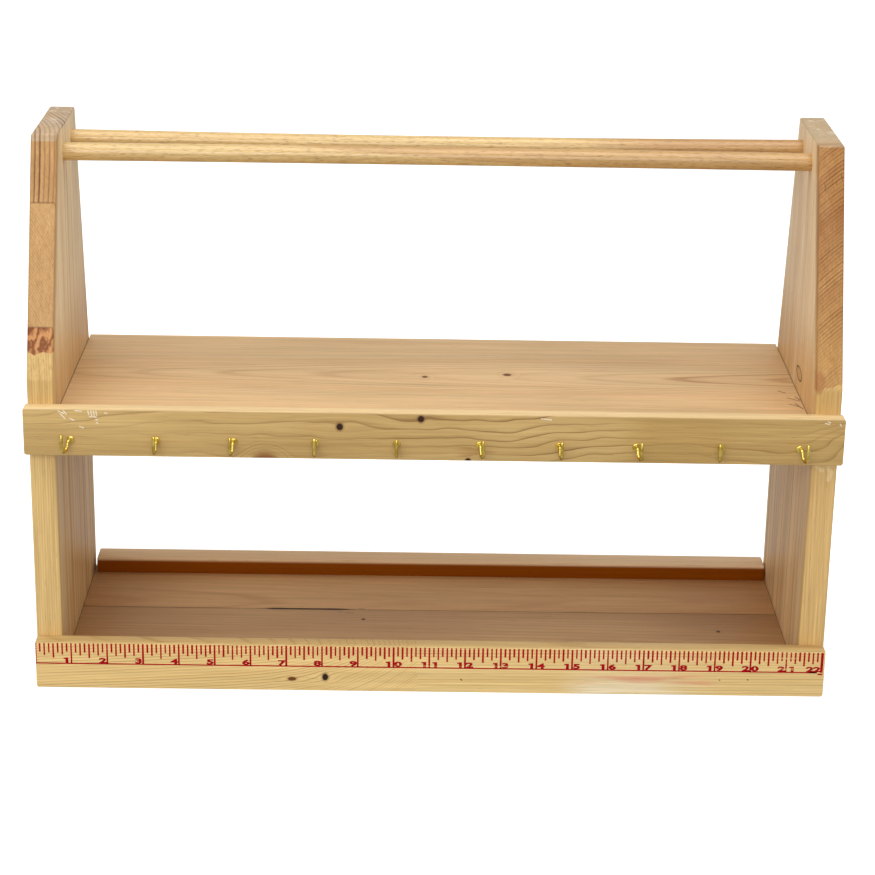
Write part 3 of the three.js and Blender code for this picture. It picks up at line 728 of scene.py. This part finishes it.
def rule_rail_pine():
    w = Wood("rule_rail_pine", "X", 5.0)
    x, _, z = w.xyz
    black_knot = w.oval(x, z, (-75, 10.6), (1.9, 2.4))
    brown_knot = w.oval(x, z, (-98.6, 8.9), (2.6, 1.3))
    fingers = w.math("PINGPONG", z, 9 * MM)
    left = w.under(x, w.scale_add(fingers, 0.25, FINGER_JOINT))
    rise = w.mul(w.sub(x, CLIMB_START), 1 / CLIMB_LENGTH)
    rise = w.largest(w.smallest(rise, 1.0), 0.0)
    climb = w.scale_add(w.power(rise, 3.0), -CLIMB_LENGTH * CLIMB_SLOPE / 3, w.mul(x, -0.05))
    bend = w.mul(left, climb)
    w.part_round((-75, 10.6), (26, 9), 0.7)
    w.part_round((-98.6, 8.9), (22, 6), 0.6)
    pith = (-0.07, w.scale_add(left, 0.10, -0.25))
    count = w.rings(pith, (0.0, 0.012), 2.2 * MM, 0.8, 3.0, bend)
    late = w.late(count, w.scale_add(left, 0.1, 0.85), 0.80)
    colour = w.mix(late, linear(236, 205, 142), linear(150, 104, 50))
    colour = w.mix(w.smooth(w.bands(count, 4.0), 0.42, 0.62, 0.0, 0.4), colour, linear(226, 188, 122))
    colour = w.mix(w.mul(left, 0.2), colour, linear(228, 190, 122))
    colour = w.clouds(colour, linear(230, 198, 134), 0.45, 5.0, 30.0)
    bleached = w.mul(w.smooth(x, 0.085, 0.12), w.fall(x, 0.15, 0.215))
    bleached = w.mul(bleached, w.smooth(z, 2 * MM, 18 * MM, 1.0, 0.25))
    bleached = w.mul(bleached, w.smooth(w.grained(10.0, 160.0, 3.0, 2.0), 0.35, 0.6))
    colour = w.mix(w.mul(bleached, 0.75), colour, linear(246, 232, 200))
    smudge = w.mul(w.smooth(x, 0.095, 0.13), w.fall(x, 0.19, 0.21))
    smudge = w.mul(smudge, w.smooth(w.grained(16.0, 260.0, 14.0, 2.0), 0.46, 0.66))
    smudge = w.mul(smudge, w.mul(w.smooth(z, 5 * MM, 9 * MM), w.fall(z, 15 * MM, 17 * MM)))
    colour = w.mix(w.mul(smudge, 0.5), colour, linear(226, 124, 108))
    # Painted shade: a darker top face
    colour = w.mix(w.smooth(z, 34.8 * MM, 35.6 * MM, 0.0, 0.45), colour, linear(160, 124, 74))
    colour = w.knot(colour, brown_knot, linear(160, 104, 48), linear(110, 60, 24))
    colour = w.knot(colour, black_knot, linear(104, 64, 30), linear(22, 12, 8))
    specks = w.strokes(x, z, [(21.5, 10.2, 22.4, 9.4), (226, 12.6, 226.4, 12.4), (206, 12, 206.3, 12)], 0.6)
    colour = w.mix(specks, colour, linear(60, 44, 22))
    colour = w.fibres(colour, 0.65, 0.2)
    return w.varnish(colour, late, 0.45)


# Bars
BAR_HEIGHT = 366.5 * MM


def dowel_wood(name, shift, turn):
    w = Wood(name, "X", shift)
    x, _, z = w.xyz
    count = w.rings((0.06, 0.42), (0.03, 0.02), 1.6 * MM, 1.2, 4.0)
    late = w.late(count, 0.5, 0.7)
    colour = w.mix(late, linear(214, 184, 124), linear(166, 124, 68))
    border = w.scale_add(w.grained(9.0, 30.0, 4.0, 2.0), 0.05, x)
    lift = w.scale_add(w.sub(z, BAR_HEIGHT), turn["slant"], border)
    heart = w.smooth(lift, turn["start"], turn["start"] + turn["fade"], 0.0, turn["amount"])
    colour = w.mix(heart, colour, linear(182, 139, 84))
    colour = w.clouds(colour, linear(206, 166, 104), 0.45, 6.0, 40.0)
    colour = w.fibres(colour, 0.7, 0.3)
    pore = w.smooth(w.grained(170.0, 2200.0, 9.0, 1.0), 0.54, 0.70, 0.0, 0.55)
    colour = w.mix(pore, colour, linear(116, 76, 36))
    return w.varnish(colour, late, 0.27, 0.75)


# Shaping
ALONG_X = (0, math.pi / 2, 0)
ALONG_Y = (math.pi / 2, 0, 0)
SOFTEN_OVER = math.radians(20)
SMOOTH_UNDER = math.radians(35)


def choose(piece=None):
    """Leaves one piece selected, or nothing."""
    bpy.ops.object.select_all(action="DESELECT")
    if piece is not None:
        piece.select_set(True)
        bpy.context.view_layer.objects.active = piece


def settle():
    """Takes the selected pieces' place, turn and size into their meshes."""
    bpy.ops.object.transform_apply(location=True, rotation=True, scale=True)


def start_round(name, sides, radius, length, centre, turn):
    choose()
    bpy.ops.mesh.primitive_cylinder_add(
        vertices=sides, radius=radius, depth=length, location=centre, rotation=turn)
    piece = bpy.context.object
    piece.name = name
    settle()
    return piece


def start_box(name, node):
    """A box of a node's own size and place, ready to be shaped."""
    low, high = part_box(node)
    choose()
    bpy.ops.mesh.primitive_cube_add(size=1, location=(low + high) / 2)
    piece = bpy.context.object
    piece.name = name
    piece.scale = high - low
    settle()
    return piece


def edit(piece):
    choose(piece)
    bpy.ops.object.mode_set(mode="EDIT")
    bpy.ops.mesh.select_all(action="SELECT")


def leave_edit():
    bpy.ops.object.mode_set(mode="OBJECT")


def select_edges(piece, chosen):
    """Selects the edges whose two end points pass a test, from edit mode."""
    bpy.ops.mesh.select_mode(type="EDGE")
    bpy.ops.mesh.select_all(action="DESELECT")
    bpy.ops.object.mode_set(mode="OBJECT")
    points = piece.data.vertices
    for line in piece.data.edges:
        line.select = chosen(points[line.vertices[0]].co, points[line.vertices[1]].co)
    bpy.ops.object.mode_set(mode="EDIT")


def modify(piece, kind, **settings):
    choose(piece)
    modifier = piece.modifiers.new(kind.lower(), kind)
    for key, value in settings.items():
        setattr(modifier, key, value)
    bpy.ops.object.modifier_apply(modifier=modifier.name)


def soften(piece, width, segments=4):
    modify(piece, "BEVEL", width=width, segments=segments, limit_method="ANGLE", angle_limit=SOFTEN_OVER)
    bpy.ops.object.shade_smooth_by_angle(angle=SMOOTH_UNDER)


def dress(piece, node, material):
    piece.data.materials.clear()
    piece.data.materials.append(material)
    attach(piece, "root")
    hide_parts(node)


def cut_away(point, outward):
    """Removes what lies outwards of a plane from the mesh in edit mode, and closes it."""
    bpy.ops.mesh.select_all(action="SELECT")
    bpy.ops.mesh.bisect(plane_co=point, plane_no=outward, use_fill=True, clear_outer=True)


# Boards
END_EASE = 1.4 * MM
SHELF_EASE = 0.5 * MM
RAIL_CORNER = 1.8 * MM
RAIL_EASE = 0.9 * MM
STRIP_CORNER = 1.2 * MM


def add_end(side, material):
    node = f"{side}_end"
    low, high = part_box(node)
    piece = start_box(f"{side}_end_board", node)
    edit(piece)
    front_foot = Vector((0, low.y, FRONT_SLOPE_FOOT))
    front_top = Vector((0, low.y + FRONT_SLOPE_SETBACK, high.z))
    rear_foot = Vector((0, high.y, REAR_SLOPE_FOOT))
    rear_top = Vector((0, high.y - REAR_SLOPE_SETBACK, high.z))
    front_run = (front_top - front_foot).normalized()
    rear_run = (rear_top - rear_foot).normalized()
    cut_away(front_foot, (0, -front_run.z, front_run.y))
    cut_away(rear_foot, (0, rear_run.z, -rear_run.y))
    if side == "left":
        corner = front_top - front_run * FRONT_NIP
        across = Vector((0, front_top.y + FRONT_NIP, high.z)) - corner
        cut_away(corner, (0, -across.z, across.y))
    else:
        corner = rear_top - rear_run * REAR_NIP
        across = Vector((0, rear_top.y - REAR_NIP, high.z)) - corner
        cut_away(corner, (0, across.z, -across.y))
    leave_edit()
    soften(piece, END_EASE)
    dress(piece, node, material)


def add_rail(node, material, corner):
    piece = start_box(f"{node}_board", node)
    edit(piece)
    select_edges(piece, lambda p, q: abs(p.y - q.y) > 1 * MM)
    bpy.ops.mesh.bevel(offset=corner, segments=4, affect="EDGES")
    leave_edit()
    soften(piece, RAIL_EASE)
    dress(piece, node, material)


def add_shelf(node, material):
    piece = start_box(f"{node}_board", node)
    soften(piece, SHELF_EASE, 2)
    dress(piece, node, material)


BAR_SIDES = 64
BAR_CUTS = 40
BAR_EASE = 0.3 * MM
BAR_BOW = {"front_dowel": 0.4 * MM, "rear_dowel": -1.4 * MM}


def add_bar(node, material):
    low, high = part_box(node)
    length = high.x - low.x
    piece = start_round(f"{node}_bar", BAR_SIDES, (high.z - low.z) / 2, length, (low + high) / 2, ALONG_X)
    edit(piece)
    select_edges(piece, lambda p, q: abs(p.x - q.x) > 0.1)
    bpy.ops.mesh.subdivide(number_cuts=BAR_CUTS)
    leave_edit()
    for point in piece.data.vertices:
        share = point.co.x / (length / 2)
        point.co.z += BAR_BOW[node] * (1 - share * share)
    soften(piece, BAR_EASE, 2)
    dress(piece, node, material)


# Cup hooks
HOOK_WIRE = 2.5 * MM
HOOK_COLLAR = 5.4 * MM
HOOK_COLLAR_THICKNESS = 1.1 * MM
HOOK_LEAD = 1.6 * MM
HOOK_SHOULDER_RADIUS = 3.0 * MM
HOOK_SHOULDER_TURN = math.radians(75)
HOOK_DROP = 0.9 * MM
HOOK_CUP_RADIUS = 3.75 * MM
HOOK_UPRIGHT = 9.3 * MM
HOOK_TURN = [-24, -4, -9, -1, 0, 11, 6, 14, -12, 19]
HOOK_X = [-250, -191, -138, -82, -26, 31, 86, 139, 198, 252]
HOOK_HEIGHT = 187.7 * MM
HOOK_SIDES = 20
HOOK_SHOULDER_STEPS = 14
HOOK_CUP_STEPS = 26
HOOK_TIP = (0.86, 0.55)
HOOK_SMOOTH_UNDER = math.radians(40)
COLLAR_SIDES = 32
COLLAR_ROUND = 0.7


def extrude_by(step):
    bpy.ops.mesh.extrude_region_move(TRANSFORM_OT_translate={"value": step})


def spin_end(steps, angle, centre):
    bpy.ops.mesh.spin(steps=steps, angle=angle, center=centre, axis=(1, 0, 0))


def round_tip(step, shrink):
    extrude_by(step)
    bpy.ops.transform.resize(value=(shrink, shrink, 1))


def bend_wire():
    """The wire of a hook in its own upright plane, from the collar forwards, with the rail face at y = 0."""
    choose()
    bpy.ops.mesh.primitive_circle_add(
        vertices=HOOK_SIDES, radius=HOOK_WIRE / 2, fill_type="NGON", rotation=ALONG_Y)
    wire = bpy.context.object
    settle()
    edit(wire)
    extrude_by((0, -HOOK_LEAD, 0))
    turn = HOOK_SHOULDER_TURN
    spin_end(HOOK_SHOULDER_STEPS, -turn, (0, -HOOK_LEAD, -HOOK_SHOULDER_RADIUS))
    down = Vector((0, -math.cos(turn), -math.sin(turn)))
    start = Vector((0, -HOOK_LEAD - HOOK_SHOULDER_RADIUS * math.sin(turn),
                    HOOK_SHOULDER_RADIUS * (math.cos(turn) - 1)))
    extrude_by(down * HOOK_DROP)
    cup_start = start + down * HOOK_DROP
    towards_cup = Vector((0, -math.sin(turn), math.cos(turn)))
    cup_centre = cup_start + towards_cup * HOOK_CUP_RADIUS
    spin_end(HOOK_CUP_STEPS, turn + math.pi / 2, cup_centre)
    extrude_by((0, 0, HOOK_UPRIGHT - HOOK_WIRE / 4))
    for shrink in HOOK_TIP:
        round_tip((0, 0, HOOK_WIRE / 8), shrink)
    leave_edit()
    return wire


def add_collar():
    collar = start_round(
        "collar", COLLAR_SIDES, HOOK_COLLAR / 2, HOOK_COLLAR_THICKNESS,
        (0, -HOOK_COLLAR_THICKNESS / 2, 0), ALONG_Y)
    edit(collar)
    front = -HOOK_COLLAR_THICKNESS + 1e-6
    select_edges(collar, lambda p, q: p.y < front and q.y < front)
    bpy.ops.mesh.bevel(offset=HOOK_COLLAR_THICKNESS * COLLAR_ROUND, segments=4, affect="EDGES")
    leave_edit()
    return collar


def add_hooks(material):
    wire = bend_wire()
    modify(wire, "WELD", merge_threshold=1e-6)
    for number, (x, turn) in enumerate(zip(HOOK_X, HOOK_TURN), start=1):
        hook = wire.copy()
        hook.data = wire.data.copy()
        bpy.context.scene.collection.objects.link(hook)
        hook.name = f"brass_hook_{number:02d}"
        hook.rotation_euler = (0, 0, math.radians(turn))
        choose(hook)
        settle()
        collar = add_collar()
        choose(hook)
        collar.select_set(True)
        bpy.ops.object.join()
        hook.location = (x * MM, RAIL_FRONT, HOOK_HEIGHT)
        settle()
        edit(hook)
        bpy.ops.mesh.normals_make_consistent(inside=False)
        leave_edit()
        bpy.ops.object.shade_smooth_by_angle(angle=HOOK_SMOOTH_UNDER)
        dress(hook, f"cup_hook_{number:02d}", material)
    bpy.data.objects.remove(wire)


def brass():
    g = Graph("bright_brass")
    place = g.node("ShaderNodeTexCoord").outputs["Object"]
    grime = g.noise(place, 220.0, 2.0, 0.5)
    golds = [(0.3, linear(204, 172, 74)), (0.7, linear(244, 222, 122))]
    g.feed(g.shader["Base Color"], g.ramp(grime, golds))
    g.shader["Metallic"].default_value = 1.0
    g.feed(g.shader["Roughness"], g.smooth(grime, 0.3, 0.8, 0.16, 0.26))
    return g.material


# Screws
SCREW_SIDES = 32
SCREW_HEAD = 2.4 * MM
SCREW_TAPER = 0.5
SCREW_EASE = 0.12 * MM
SLOT_DEPTH = 1.3 * MM
SLOT_ARM = 1.9 * MM
SLOT_WIDTH = 0.5 * MM


def add_screws(material):
    for node in [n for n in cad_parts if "_screw_" in n]:
        low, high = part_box(node)
        outward = 1 if high.x > 0 else -1
        face = high.x if outward > 0 else low.x
        centre = Vector((face - outward * SCREW_HEAD / 2, (low.y + high.y) / 2, (low.z + high.z) / 2))
        piece = start_round(f"{node}_head", SCREW_SIDES, (high.z - low.z) / 2, SCREW_HEAD, centre, ALONG_X)
        edit(piece)
        select_edges(piece, lambda p, q: min(abs(p.x - face), abs(q.x - face)) > SCREW_HEAD / 2)
        bpy.ops.transform.resize(value=(1, SCREW_TAPER, SCREW_TAPER), center_override=centre)
        leave_edit()
        for wide, tall in ((SLOT_ARM, SLOT_WIDTH), (SLOT_WIDTH, SLOT_ARM)):
            choose()
            bpy.ops.mesh.primitive_cube_add(size=2, location=(face, centre.y, centre.z))
            tool = bpy.context.object
            tool.scale = (SLOT_DEPTH, wide, tall)
            modify(piece, "BOOLEAN", object=tool, operation="DIFFERENCE", solver="EXACT")
            bpy.data.objects.remove(tool)
        soften(piece, SCREW_EASE, 2)
        dress(piece, node, material)


def steel():
    g = Graph("zinc_plate")
    place = g.node("ShaderNodeTexCoord").outputs["Object"]
    stain = g.noise(place, 700.0, 3.0, 0.6)
    greys = [(0.3, linear(120, 116, 108)), (0.7, linear(178, 174, 166))]
    g.feed(g.shader["Base Color"], g.ramp(stain, greys))
    g.shader["Metallic"].default_value = 1.0
    g.feed(g.shader["Roughness"], g.smooth(stain, 0.3, 0.8, 0.28, 0.5))
    return g.material


# Printed inch scale
PRINT_PROUD = 0.05 * MM
SCALE_INCHES = 22
SCALE_ZERO = -11 * INCH - 1.06 * MM
SCALE_BASE = 18.8 * MM
SCALE_TOP = 34.5 * MM
TICK_WIDTH = 1.3 * MM
BASE_WIDTH = 0.95 * MM
TICK_ENDS = {8: SCALE_BASE, 4: 23.4 * MM, 2: 25.2 * MM, 1: 27.4 * MM}
TICK_WIDTH_SPREAD = (0.82, 1.1)
TICK_TOP_SPREAD = (-0.35, 0.1)
TICK_END_SPREAD = (-0.4, 0.4)
LAST_TICK_WIDTH = 1.9 * MM
BASE_STOP = 4 * MM
# Two short dashes by the last mark: left, right, low and high, in millimetres from it and from the base line
LAST_DASHES = [(-9, -3, -0.5, 0.5), (-2.6, 0.9, -1.9, -0.7)]
DIGIT_HEIGHT = 3.6 * MM
DIGIT_SHARE = 0.7
DIGIT_GAP = 0.75 * MM
DIGIT_STRETCH = 1.95
DIGIT_BOLD = 0.28 * MM
DIGIT_LIFT = 0.75 * MM
FLAG_WIDTH = 1.3 * MM
FLAG_HEIGHT = 1.0 * MM
ZERO_DASHES = 9
ZERO_DASH_SHARE = 0.7


def ink_bar(left, right, low, high):
    choose()
    bpy.ops.mesh.primitive_cube_add(
        size=1, location=((left + right) / 2, RAIL_FRONT - PRINT_PROUD / 2, (low + high) / 2))
    bar = bpy.context.object
    bar.scale = (right - left, PRINT_PROUD, high - low)
    return bar


def tick_end(eighth):
    for step, end in TICK_ENDS.items():
        if eighth % step == 0:
            return end


def ink_figure(figure, edge, side):
    """One figure beside an inch line: on its left, or on its right."""
    choose()
    bpy.ops.object.text_add(location=(0, 0, 0))
    text = bpy.context.object
    text.data.body = figure
    text.data.size = DIGIT_HEIGHT / DIGIT_SHARE
    text.data.bevel_depth = DIGIT_BOLD
    text.data.bevel_resolution = 0
    text.data.align_x = "RIGHT" if side == "left" else "LEFT"
    bpy.ops.object.convert(target="MESH")
    text = bpy.context.object
    text.scale = (DIGIT_STRETCH, 1, PRINT_PROUD / 2 / DIGIT_BOLD)
    text.rotation_euler = (math.pi / 2, 0, 0)
    foot = SCALE_BASE + DIGIT_LIFT
    away = -DIGIT_GAP if side == "left" else DIGIT_GAP
    if figure == "1" and side == "right":
        away += FLAG_WIDTH
    text.location = (edge + away, RAIL_FRONT - PRINT_PROUD / 2, foot)
    if figure != "1":
        return [text]
    stem = edge + away + DIGIT_STRETCH * min(point.co.x for point in text.data.vertices)
    flag = ink_bar(stem - FLAG_WIDTH, stem, foot + DIGIT_HEIGHT - FLAG_HEIGHT, foot + DIGIT_HEIGHT)
    return [text, flag]


def ink_number(number, mark):
    figures = str(number)
    if number < 10 or number == SCALE_INCHES:
        return ink_figure(figures, mark, "left")
    return ink_figure(figures[0], mark, "left") + ink_figure(figures[1], mark, "right")


def add_scale(material):
    marks = []
    step = (SCALE_TOP - SCALE_BASE) / ZERO_DASHES
    for dash in range(ZERO_DASHES):
        low = SCALE_BASE + dash * step
        marks.append(ink_bar(SCALE_ZERO, SCALE_ZERO + BASE_WIDTH, low, low + step * ZERO_DASH_SHARE))
    for eighth in range(1, SCALE_INCHES * 8 + 1):
        x = SCALE_ZERO + eighth * INCH / 8
        half = TICK_WIDTH / 2 * rng.uniform(*TICK_WIDTH_SPREAD)
        top = SCALE_TOP + rng.uniform(*TICK_TOP_SPREAD) * MM
        end = tick_end(eighth)
        if eighth % 8:
            end += rng.uniform(*TICK_END_SPREAD) * MM
        if eighth == SCALE_INCHES * 8:
            half = LAST_TICK_WIDTH / 2
        marks.append(ink_bar(x - half, x + half, end, top))
    last = SCALE_ZERO + SCALE_INCHES * INCH
    half = BASE_WIDTH / 2
    marks.append(ink_bar(SCALE_ZERO, last - BASE_STOP, SCALE_BASE - half, SCALE_BASE + half))
    for left, right, low, high in LAST_DASHES:
        low, high = SCALE_BASE + low * MM, SCALE_BASE + high * MM
        marks.append(ink_bar(last + left * MM, last + right * MM, low, high))
    for number in range(1, SCALE_INCHES + 1):
        marks.extend(ink_number(number, SCALE_ZERO + number * INCH))
    choose(marks[0])
    for mark in marks:
        mark.select_set(True)
    bpy.ops.object.join()
    scale = bpy.context.object
    scale.name = "printed_inch_scale"
    settle()
    scale.data.materials.clear()
    scale.data.materials.append(material)
    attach(scale, "root")


def red_ink():
    """Worn print: wood shows through along its grain, most of all in the middle and near the last inch."""
    g = Graph("red_ink")
    x, y, z = g.position()
    uneven = g.noise(g.vector(g.mul(x, 500.0), 0.0, g.mul(z, 500.0)), 1.0, 3.0, 0.6)
    red = g.ramp(uneven, [(0.3, linear(158, 0, 16)), (0.7, linear(184, 10, 28))])
    ridge = g.stretched((x, y, z), (9.0, 1.0, 420.0), 2.0, 2.0, 0.6)
    speck = g.noise(g.vector(g.mul(x, 1500.0), 0.0, g.mul(z, 1500.0)), 1.0, 2.0, 0.6)
    worn = g.add(ridge, g.mul(speck, 0.45))
    middle = g.mul(g.smooth(x, -0.06, 0.0), g.fall(x, 0.10, 0.14))
    late = g.fall(g.absolute(g.sub(x, 0.2535)), 4 * MM, 9 * MM)
    weak = g.add(g.mul(middle, 0.05), g.mul(late, 0.10))
    bare = g.smooth(g.add(worn, weak), 0.90, 1.02, 0.0, 0.85)
    g.feed(g.shader["Base Color"], g.mix(bare, red, linear(222, 178, 120)))
    g.shader["Roughness"].default_value = 0.55
    g.shader["Specular IOR Level"].default_value = 0.1
    return g.material


# Everything on its frame
FRONT_HEART = {"slant": 16.0, "start": 0.03, "fade": 0.015, "amount": 0.85}
REAR_HEART = {"slant": 4.0, "start": 0.11, "fade": 0.10, "amount": 1.0}


def add_everything():
    add_end("left", left_end_pine())
    add_end("right", right_end_pine())
    add_shelf("upper_shelf", upper_shelf_pine())
    tray = lower_shelf_pine()
    add_shelf("lower_shelf_front_board", tray)
    add_shelf("lower_shelf_rear_board", tray)
    add_rail("hook_rail", hook_rail_pine(), RAIL_CORNER)
    add_rail("rule_rail", rule_rail_pine(), RAIL_CORNER)
    add_rail("rear_strip", rear_strip_pine(), STRIP_CORNER)
    add_bar("front_dowel", dowel_wood("front_dowel_wood", 9.0, FRONT_HEART))
    add_bar("rear_dowel", dowel_wood("rear_dowel_wood", 13.0, REAR_HEART))
    add_hooks(brass())
    add_screws(steel())
    add_scale(red_ink())


add_camera()
add_studio()
add_everything()
